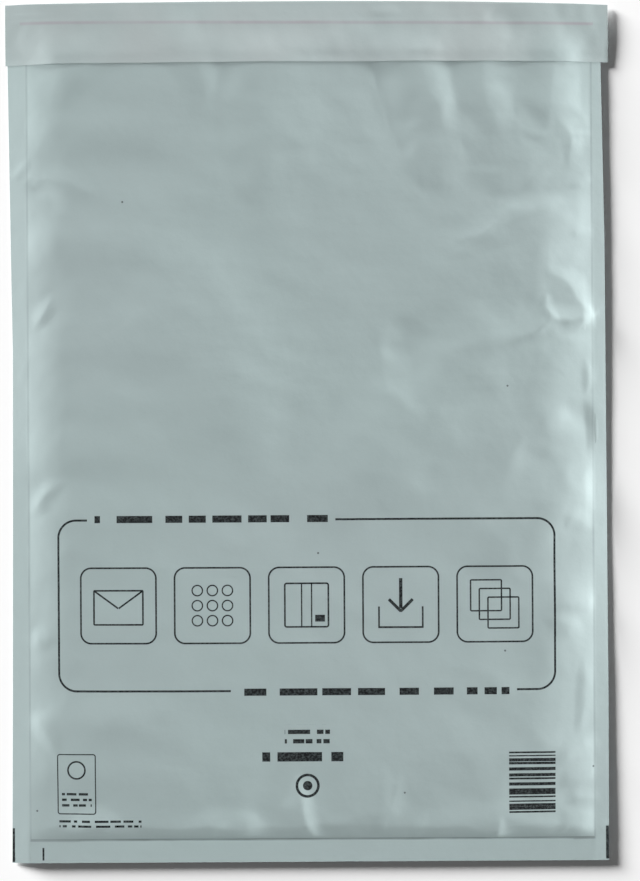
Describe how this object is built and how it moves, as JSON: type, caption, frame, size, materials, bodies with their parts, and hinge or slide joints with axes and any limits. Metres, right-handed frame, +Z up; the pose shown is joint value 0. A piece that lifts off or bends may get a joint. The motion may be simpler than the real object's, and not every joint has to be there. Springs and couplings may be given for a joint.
{
  "type": "padded envelope",
  "caption": "Empty paper envelope lined with bubble film, lying flat with its flap folded over the mouth, for posting small goods.",
  "frame": {"origin": "on the floor under the middle of the lying envelope", "axes": "+Y along the envelope towards the folded flap, +Z up through the printed front, +X to the right seen from above"},
  "size_m": [0.322, 0.459, 0.0112],
  "materials": {
    "outer_paper": "smooth grey paper with black line print on the front",
    "bubble_film": "clear glossy film",
    "adhesive": "tacky film",
    "liner_paper": "coated pale pink paper"
  },
  "bodies": {
    "root": {"front_panel": "outer_paper", "back_panel": "outer_paper", "front_bubble_lining": "bubble_film", "back_bubble_lining": "bubble_film", "flap_adhesive": "adhesive", "release_liner": "liner_paper"}
  },
  "joints": []
}
